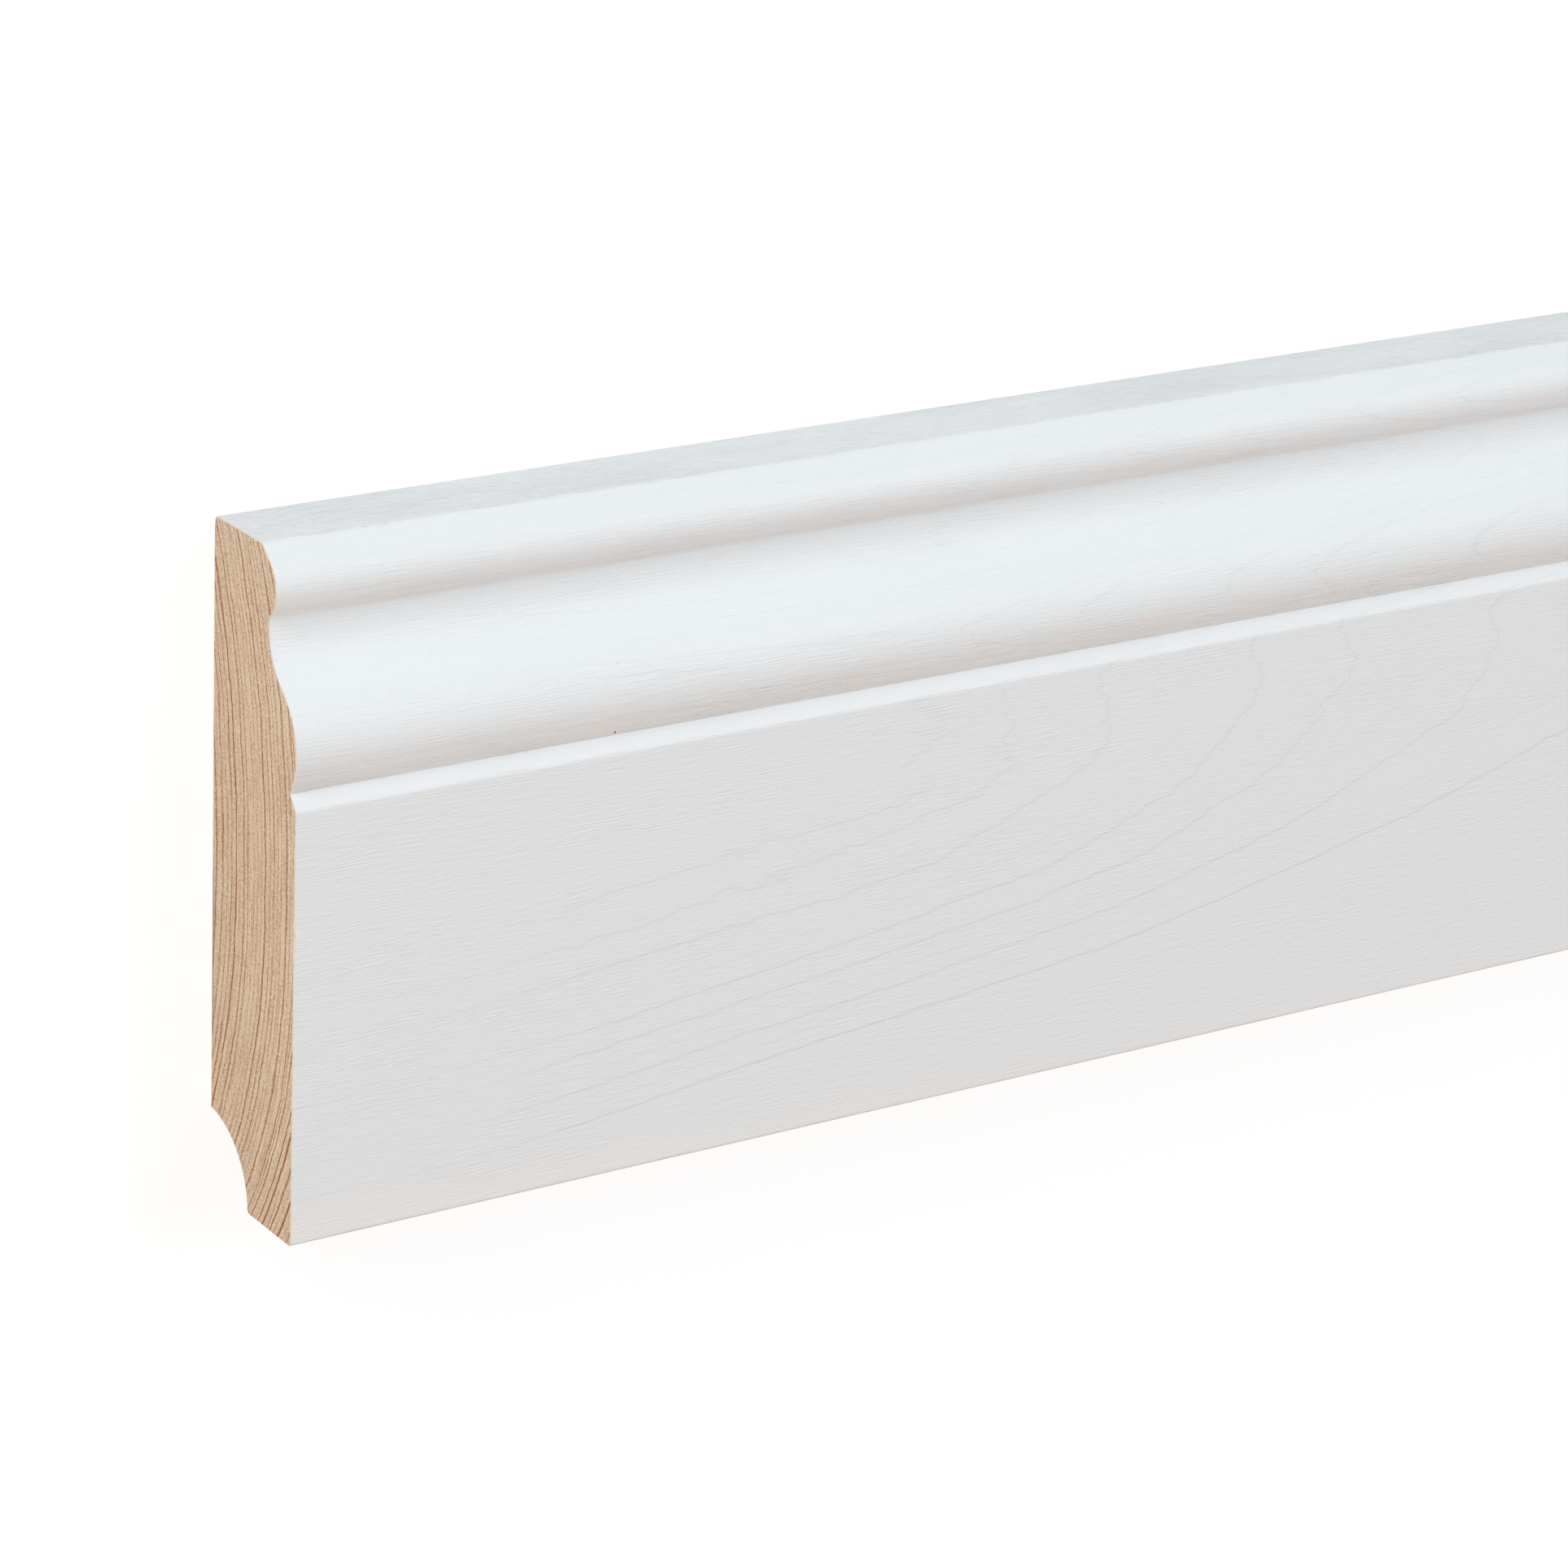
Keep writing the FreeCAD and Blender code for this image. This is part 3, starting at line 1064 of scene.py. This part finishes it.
@dataclass(frozen=True)
class SawnSoftwood:
    """Softwood end grain, cut square with a fine-toothed circular saw.

    Pale earlywood with thin red-brown latewood lines, dull and open. Between the lines the rows of cut
    tracheids show as fine streaks that follow the rings, with a speckle of torn fibre ends over them. The end
    turns a bluish grey along the back arris, a little below the middle.
    """

    pale: str = "#E6D2B8"
    dark: str = "#95592C"
    # A bluish grey that the end turns to along the back arris.
    back_grey: str = "#84868A"
    roughness: float = 0.85
    start: float = 0.18
    latewood_share: float = 1.25
    streak_share: float = 1.2
    streak_width: float = 0.22
    streak_length: float = 9.0
    speckle_share: float = 1.5
    speckle_width: float = 0.22
    speckle_relief_mm: float = 0.04
    back_grey_strength: float = 0.75
    back_grey_drop: float = 50.0
    back_grey_reach: float = 12.0
    back_grey_solid: float = 0.6
    back_grey_depth: float = 0.55
    back_grey_solid_depth: float = 0.3

    def material(self, rings: Tree) -> bpy.types.Material:
        """Makes the sawn end grain.

        Args:
            rings: The group that places the growth rings.

        Returns:
            The material.
        """
        made, shader = new_material("sawn_softwood_end_grain")
        tree = made.node_tree
        wood = add_node(tree, "ShaderNodeGroup", node_tree=rings).outputs
        place = add_node(tree, "ShaderNodeSeparateXYZ", (wood["Place"],)).outputs
        across = add_node(
            tree, "ShaderNodeMath", (wood["Inward"], 1 / self.streak_width), operation="MULTIPLY"
        )
        up = add_node(tree, "ShaderNodeMath", (place["Y"], 1 / self.streak_length), operation="MULTIPLY")
        row = add_node(tree, "ShaderNodeCombineXYZ", {"X": across, "Y": up, "Z": place["X"]})
        streaks = add_node(tree, "ShaderNodeTexNoise", {"Vector": row, "Scale": 1.0, "Detail": 2.0})
        speckle = grain(tree, wood["Place"], self.speckle_width, self.speckle_width, 2.0)
        shade = add_node(
            tree,
            "ShaderNodeMath",
            (wood["Latewood"], self.latewood_share, self.start),
            operation="MULTIPLY_ADD",
        )
        for wave, share in ((streaks, self.streak_share), (speckle, self.speckle_share)):
            shade = swing(tree, shade, wave, share)

        colour = linear(self.pale)
        for tone, cover in (
            (self.dark, shade),
            (self.back_grey, self.back_greyed(tree, wood["Spot"], place["Z"])),
        ):
            colour = add_node(
                tree,
                "ShaderNodeMix",
                {"Factor": cover, MIX_FROM: colour, MIX_TO: linear(tone)},
                data_type="RGBA",
            )
        bump = add_node(tree, "ShaderNodeBump", {"Height": speckle, "Distance": self.speckle_relief_mm * MM})
        feed(shader, {"Base Color": colour, "Roughness": self.roughness, "Normal": bump})
        return made

    def back_greyed(self, tree: Tree, spot: Signal, off_back: Signal) -> Signal:
        """Places the grey band along the back arris.

        Args:
            tree: The material's tree.
            spot: The place as way, drop and setback.
            off_back: The distance from the board's back, in millimetres.

        Returns:
            How far the grey covers the timber, from 0 to 1.
        """
        drop = add_node(tree, "ShaderNodeSeparateXYZ", (spot,)).outputs["Y"]
        off = add_node(tree, "ShaderNodeMath", (drop, self.back_grey_drop), operation="SUBTRACT")
        within = add_node(
            tree,
            "ShaderNodeMapRange",
            (
                add_node(tree, "ShaderNodeMath", (off,), operation="ABSOLUTE"),
                self.back_grey_solid * self.back_grey_reach,
                self.back_grey_reach,
                self.back_grey_strength,
                0.0,
            ),
        )
        at_back = add_node(
            tree,
            "ShaderNodeMapRange",
            (off_back, self.back_grey_solid_depth * self.back_grey_depth, self.back_grey_depth, 1.0, 0.0),
        )
        return add_node(tree, "ShaderNodeMath", (within, at_back), operation="MULTIPLY")


@dataclass(frozen=True)
class PlanedSoftwood:
    """Bare softwood as the moulder leaves it: the back, the cable cove and the floor edge.

    Smooth and slightly silky along the fibres, with latewood lines that run with the board. Overspray laps a
    millimetre or two round the arrises next to the lacquered faces.
    """

    earlywood: str = "#E2C6A2"
    latewood: str = "#B98A5C"
    overspray: str = "#E9E7E2"
    roughness: float = 0.6
    fibre_relief_mm: float = 0.03
    fibre_from: float = 0.25
    fibre_to: float = 0.75
    fibre_low: float = 0.92
    fibre_high: float = 1.06
    lap: float = 1.8
    lap_raggedness_per_mm: float = 0.35

    def material(self, rings: Tree) -> bpy.types.Material:
        """Makes the bare planed timber.

        Args:
            rings: The group that places the growth rings.

        Returns:
            The material.
        """
        made, shader = new_material("planed_softwood")
        tree = made.node_tree
        wood = add_node(tree, "ShaderNodeGroup", node_tree=rings).outputs
        ringed = add_node(
            tree,
            "ShaderNodeMix",
            {"Factor": wood["Latewood"], MIX_FROM: linear(self.earlywood), MIX_TO: linear(self.latewood)},
            data_type="RGBA",
        )
        value = add_node(
            tree,
            "ShaderNodeMapRange",
            (wood["Fibre"], self.fibre_from, self.fibre_to, self.fibre_low, self.fibre_high),
        )
        fibred = add_node(tree, "ShaderNodeVectorMath", {0: ringed, "Scale": value}, operation="SCALE")
        colour = add_node(
            tree,
            "ShaderNodeMix",
            {"Factor": self.oversprayed(tree, wood), MIX_FROM: fibred, MIX_TO: linear(self.overspray)},
            data_type="RGBA",
        )
        bump = add_node(
            tree, "ShaderNodeBump", {"Height": wood["Fibre"], "Distance": self.fibre_relief_mm * MM}
        )
        feed(shader, {"Base Color": colour, "Roughness": self.roughness, "Normal": bump})
        return made

    def oversprayed(self, tree: Tree, wood: bpy.types.NodeOutputs) -> Signal:
        """Laps the overspray round the front arris of the floor edge, and round the top arris onto the back.

        Args:
            tree: The material's tree.
            wood: What the group of growth rings gives.

        Returns:
            How far it covers the timber, from 0 to 1.
        """
        ragged = add_node(
            tree,
            "ShaderNodeTexNoise",
            {"Vector": wood["Place"], "Scale": self.lap_raggedness_per_mm, "Detail": 3.0},
        )
        split = add_node(tree, "ShaderNodeSeparateXYZ", (wood["Spot"],)).outputs
        lapped = 0.0
        for across in (split["Z"], split["Y"]):
            reach = add_node(
                tree, "ShaderNodeMath", (ragged, -2 * self.lap, across), operation="MULTIPLY_ADD"
            )
            over = add_node(
                tree,
                "ShaderNodeMapRange",
                {"Value": reach, "From Min": self.lap, "From Max": 0.0},
                interpolation_type="SMOOTHSTEP",
            )
            lapped = add_node(tree, "ShaderNodeMath", (lapped, over), operation="MAXIMUM")
        return lapped


@dataclass(frozen=True)
class FilmEdge:
    """The cut edge of the lacquer film at the sawn ends: a hairline, warmer and duller than the coat."""

    cream: str = "#EBDCC6"
    roughness: float = 0.7
    dust_size: float = 0.8
    dust_low: float = 0.85
    dust_high: float = 1.1

    def material(self) -> bpy.types.Material:
        """Makes the film's cut edge, with a fine mottle of dust from the saw."""
        made, shader = new_material("lacquer_film_cut_edge")
        tree = made.node_tree
        place = add_node(tree, "ShaderNodeTexCoord").outputs["Object"]
        dust = add_node(tree, "ShaderNodeTexNoise", {"Vector": place, "Scale": 1 / (self.dust_size * MM)})
        value = add_node(
            tree, "ShaderNodeMapRange", {"Value": dust, "To Min": self.dust_low, "To Max": self.dust_high}
        )
        cream = linear(self.cream)[:3]
        colour = add_node(tree, "ShaderNodeVectorMath", {0: cream, "Scale": value}, operation="SCALE")
        feed(shader, {"Base Color": colour, "Roughness": self.roughness})
        return made


@dataclass(frozen=True)
class SawnEnd:
    """How the saw leaves an end's rim, in millimetres: a hairline of film, and small chips along it."""

    film: float = 0.13
    film_swing: float = 0.06
    film_seed: float = 0.5
    bare_rim: float = 0.05
    chip: float = 0.05
    chip_swing: float = 0.09
    chip_grain: float = 1.1
    chip_seed: float = 9.5
    deep_chip: float = 0.35
    deep_chip_grain: float = 4.0
    deep_chip_from: float = 0.45
    deep_chip_seed: float = 4.5

    def inset(self, at: float, seed: float, finish: Finish) -> float:
        """Tells how far the cut face's rim lies inside the outline.

        Args:
            at: The way round the outline.
            seed: Sets this end apart from the other.
            finish: What covers the side there.

        Returns:
            The distance inwards.
        """
        if finish is not Finish.LACQUER:
            return self.bare_rim
        swing = noise.noise(Vector((at / self.chip_grain, seed, self.film_seed)))
        return max(self.bare_rim, self.film + self.film_swing * swing)

    def setback(self, at: float, seed: float) -> float:
        """Tells how far along the board the side's surface starts behind the cut face.

        Args:
            at: The way round the outline.
            seed: Sets this end apart from the other.

        Returns:
            The distance along the board.
        """
        fine = abs(noise.noise(Vector((at / self.chip_grain, seed, self.chip_seed))))
        coarse = noise.noise(Vector((at / self.deep_chip_grain, seed, self.deep_chip_seed)))
        deep = max(0.0, coarse - self.deep_chip_from) * self.deep_chip
        return self.chip + self.chip_swing * fine + deep


@dataclass
class MouldedBoard:
    """The board: the section run along its length, with a sawn end at each side."""

    low: Vector
    high: Vector
    sawn: SawnEnd = field(default_factory=SawnEnd)
    rings: GrowthRings = field(default_factory=GrowthRings)
    lacquer: SatinLacquer = field(default_factory=SatinLacquer)
    end_grain: SawnSoftwood = field(default_factory=SawnSoftwood)
    planed: PlanedSoftwood = field(default_factory=PlanedSoftwood)
    film_edge: FilmEdge = field(default_factory=FilmEdge)
    end_stations: tuple[float, ...] = (1.5, 4.0, 10.0)
    station_step: float = 40.0
    sharp_from: float = 28.0

    @property
    def length(self) -> float:
        """The board's length, in millimetres."""
        return (self.high.x - self.low.x) / MM

    @property
    def height(self) -> float:
        """The board's height from floor edge to top edge, in millimetres."""
        return (self.high.y - self.low.y) / MM

    @property
    def thickness(self) -> float:
        """The board's thickness, in millimetres."""
        return (self.high.z - self.low.z) / MM

    def outline(self) -> tuple[list[Vector], list[Finish]]:
        """Lays the section in the board's plane.

        Returns:
            The closed outline's points as (Y, Z) in millimetres, and the finish of the side after each.
        """
        section = Section(self.height, self.thickness)
        top, face = self.high.y / MM, self.high.z / MM
        points, finishes = [], []
        for stretch in section.outline():
            for point in stretch.points[:-1]:
                points.append(Vector((top - point.x, face - point.y)))
                finishes.append(stretch.finish)
        return points, finishes

    def stations(self) -> list[float]:
        """Places the cross-sections between the two ends, as X in millimetres."""
        start, end = self.low.x / MM, self.high.x / MM
        near = [start + way for way in self.end_stations]
        far = [end - way for way in reversed(self.end_stations)]
        first, last = near[-1], far[0]
        count = math.ceil((last - first) / self.station_step)
        between = [first + (last - first) * k / count for k in range(1, count)]
        return near + between + far

    def inward(self, points: list[Vector]) -> list[Vector]:
        """Finds the direction into the section at each point of its outline."""
        normals = []
        for before, after in zip(points[-1:] + points[:-1], points[1:] + points[:1], strict=True):
            run = unit(after - before)
            normals.append(Vector((-run.y, run.x)))
        return normals

    def rows(self) -> list[list[tuple[float, float, float]]]:
        """Places the mesh's points, in millimetres.

        Returns:
            One closed row for each cross-section. The first and last rows are the rims of the cut faces.
        """
        points, finishes = self.outline()
        inward = self.inward(points)
        ways = ways_along(points)
        start, end = self.low.x / MM, self.high.x / MM
        rows = []
        for seed, edge, sign in ((1.0, start, 1), (2.0, end, -1)):
            rim, skirt = [], []
            for point, way, finish, into in zip(points, ways, finishes, inward, strict=True):
                cut = point + into * self.sawn.inset(way, seed, finish)
                rim.append((edge, cut.x, cut.y))
                skirt.append((edge + sign * self.sawn.setback(way, seed), point.x, point.y))
            rows.append([rim, skirt])
        between = [[(x, point.x, point.y) for point in points] for x in self.stations()]
        return rows[0] + between + rows[1][::-1]

    def mesh(self) -> bpy.types.Mesh:
        """Builds the closed mesh, with a material index on each face and the map for baked colours."""
        rows = self.rows()
        _, finishes = self.outline()
        around = len(finishes)
        vertices = [tuple(c * MM for c in corner) for row in rows for corner in row]
        faces, materials = [], []
        for row in range(len(rows) - 1):
            at_rim = row in (0, len(rows) - 2)
            for k, finish in enumerate(finishes):
                here, there = row * around + k, row * around + (k + 1) % around
                faces.append((here, there, there + around, here + around))
                rim_finish = Finish.FILM_EDGE if finish is Finish.LACQUER else Finish.SAWN
                materials.append((rim_finish if at_rim else finish).value)
        last = (len(rows) - 1) * around
        faces += [tuple(range(around))[::-1], tuple(range(last, last + around))]
        materials += [Finish.SAWN.value] * 2

        mesh = bpy.data.meshes.new("moulded_board")
        mesh.from_pydata(vertices, [], faces)
        mesh.polygons.foreach_set("material_index", materials)
        mesh.polygons.foreach_set("use_smooth", [True] * len(faces))
        mesh.update()
        mesh.set_sharp_from_angle(angle=math.radians(self.sharp_from))
        self.lay_out(mesh, around)
        return mesh

    def lay_out(self, mesh: bpy.types.Mesh, around: int) -> None:
        """Lays the board out on the map for baked colours: the sides as one strip, the cut faces above it.

        The strip is squeezed along the board, where the grain changes slowly, and keeps its detail across it.

        Args:
            mesh: The board's mesh.
            around: How many points each row of the mesh has.
        """
        points, _ = self.outline()
        ways = ways_along(points + points[:1])
        room = 1 - 2 * MAP_MARGIN
        layer = mesh.uv_layers.new(name=BAKE_MAP)
        sides = len(mesh.polygons) - 2 - 2 * around
        for polygon in mesh.polygons:
            on_end = polygon.index < around or polygon.index >= around + sides
            for corner, loop in zip(polygon.vertices, polygon.loop_indices, strict=True):
                x, y, z = mesh.vertices[corner].co / MM
                if on_end:
                    across = 0.5 * (x > 0) + MAP_MARGIN + (y + self.height / 2) * MAP_END_SCALE
                    layer.uv[loop].vector = (across, MAP_END_LOW + z * MAP_END_SCALE)
                    continue
                k = corner % around
                wraps = k == 0 and polygon.index % around == around - 1
                round_way = ways[around if wraps else k] / ways[-1]
                along = MAP_MARGIN + room * (x / self.length + 0.5)
                layer.uv[loop].vector = (along, MAP_MARGIN + (MAP_SIDES_TOP - MAP_MARGIN) * round_way)

    def dress(self, mesh: bpy.types.Mesh) -> None:
        """Gives the mesh its materials, in the order of Finish."""
        rings = self.rings.group(self.length, self.height, self.thickness)
        for made in (
            self.lacquer.material(rings, self.height),
            self.planed.material(rings),
            self.end_grain.material(rings),
            self.film_edge.material(),
        ):
            mesh.materials.append(made)

    def build(self) -> bpy.types.Object:
        """Builds and dresses the board, and puts it in place of the plain solid.

        Returns:
            The finished piece.
        """
        mesh = self.mesh()
        self.dress(mesh)
        piece = bpy.data.objects.new("moulded_board", mesh)
        bpy.context.scene.collection.objects.link(piece)
        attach(piece, BODY)
        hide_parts(NODE)
        return piece


@dataclass(frozen=True)
class SoftLamp:
    """A round soft lamp. Its brightness is what reaches a surface turned square to it at the aim."""

    name: str
    colour: str
    brightness: float
    direction: tuple[float, float, float]
    aim: tuple[float, float, float] = (-1.12, 0.0, 0.01)
    distance: float = 4.0
    width: float = 40.0

    def build(self) -> bpy.types.Object:
        """Hangs the lamp in its direction from the aim, where it looks its width in degrees across."""
        half = math.radians(self.width) / 2
        way = unit(Vector(self.direction))
        data = bpy.data.lights.new(self.name, "AREA")
        data.shape = "DISK"
        data.size = 2 * self.distance * math.tan(half)
        data.color = linear(self.colour)[:3]
        data.energy = self.brightness * math.pi * (self.distance / math.cos(half)) ** 2
        lamp = bpy.data.objects.new(self.name, data)
        lamp.location = Vector(self.aim) + way * self.distance
        lamp.rotation_mode = "QUATERNION"
        lamp.rotation_quaternion = way.to_track_quat("Z", "Y")
        bpy.context.scene.collection.objects.link(lamp)
        return lamp


@dataclass(frozen=True)
class Studio:
    """A pale floor, soft cool light, a warm fill and the camera, in metres and degrees."""

    floor_size: float = 40.0
    floor_colour: str = "#C8C8C8"
    floor_seen: str = "#7C7C7C"
    floor_glow: float = 0.86
    world_glow: float = 0.3
    lamps: tuple[SoftLamp, ...] = (
        SoftLamp("top_key", "#F9FEFF", 1.665, (-0.6, 0.725, 0.338), distance=2.0),
        SoftLamp("front", "#EAF6FF", 0.985, (0.5, 0.366, 0.785), distance=2.6),
        SoftLamp("warm_fill", "#FFDCBF", 0.945, (-0.6, -0.64, 0.48)),
    )
    camera_place: tuple[float, float, float] = (-1.46532, 0.22474, 0.50293)
    camera_turn: tuple[float, float, float] = (-22.2722, -33.2325, 2.9193)
    lens: float = 125.49
    nearest: float = 0.01

    def seen_directly(self, tree: Tree) -> Signal:
        """Tells camera, mirror and glass rays from the rays that carry light.

        Args:
            tree: The tree that needs to know.

        Returns:
            1 for rays that look at the surface and 0 for the rest.
        """
        path = add_node(tree, "ShaderNodeLightPath").outputs
        seen = path["Is Camera Ray"]
        for kind in ("Is Glossy Ray", "Is Transmission Ray"):
            seen = add_node(tree, "ShaderNodeMath", (seen, path[kind]), operation="MAXIMUM")
        return seen

    def make_floor(self) -> bpy.types.Object:
        """Lays the floor. It looks white and keeps the object's shadow."""
        made, shader = new_material("matt_paper_floor")
        tree = made.node_tree
        tree.nodes.remove(shader)
        lit = add_node(tree, "ShaderNodeBsdfDiffuse", {"Color": linear(self.floor_colour)})
        shaded = add_node(tree, "ShaderNodeBsdfDiffuse", {"Color": linear(self.floor_seen)})
        glow = add_node(tree, "ShaderNodeEmission", {"Strength": self.floor_glow})
        white = add_node(tree, "ShaderNodeAddShader", (shaded, glow))
        both = add_node(tree, "ShaderNodeMixShader", (self.seen_directly(tree), lit, white))
        feed(tree.nodes["Material Output"], {"Surface": both})

        half = self.floor_size / 2
        corners = [(x * half, y * half, 0) for x, y in ((-1, -1), (1, -1), (1, 1), (-1, 1))]
        mesh = bpy.data.meshes.new("floor")
        mesh.from_pydata(corners, [], [(0, 1, 2, 3)])
        mesh.materials.append(made)
        floor = bpy.data.objects.new("floor", mesh)
        bpy.context.scene.collection.objects.link(floor)
        return floor

    def make_world(self) -> None:
        """Sets the soft light from all round, with a white background where it is looked at."""
        world = bpy.data.worlds.new("studio")
        world.use_nodes = True
        tree = world.node_tree
        seen = self.seen_directly(tree)
        strength = add_node(
            tree, "ShaderNodeMapRange", {"Value": seen, "To Min": self.world_glow, "To Max": 1.0}
        )
        feed(tree.nodes["Background"], {"Color": linear("#FFFFFF"), "Strength": strength})
        bpy.context.scene.world = world

    def make_camera(self) -> None:
        """Sets the camera where it looks down along the board from above its sawn end."""
        data = bpy.data.cameras.new("camera")
        data.lens = self.lens
        data.clip_start = self.nearest
        camera = bpy.data.objects.new("camera", data)
        camera.location = self.camera_place
        camera.rotation_euler = Euler(math.radians(turn) for turn in self.camera_turn)
        bpy.context.scene.collection.objects.link(camera)
        bpy.context.scene.camera = camera

    def build(self) -> None:
        """Sets up the floor, the light and the camera."""
        bpy.context.scene.view_settings.view_transform = "Standard"
        self.make_floor()
        self.make_world()
        for lamp in self.lamps:
            lamp.build()
        self.make_camera()


def main() -> None:
    """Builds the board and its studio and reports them."""
    logging.basicConfig(level=logging.INFO, format="%(name)s: %(message)s")
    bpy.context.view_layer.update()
    board = MouldedBoard(*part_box(NODE))
    piece = board.build()
    LOG.info("%s: %.0f x %.0f x %.0f mm", piece.name, board.length, board.height, board.thickness)
    LOG.info("%s: %d faces, %d materials", piece.name, len(piece.data.polygons), len(piece.data.materials))
    studio = Studio()
    studio.build()
    LOG.info("studio: floor, world, %d lamps and camera", len(studio.lamps))


if __name__ == "__main__":
    main()
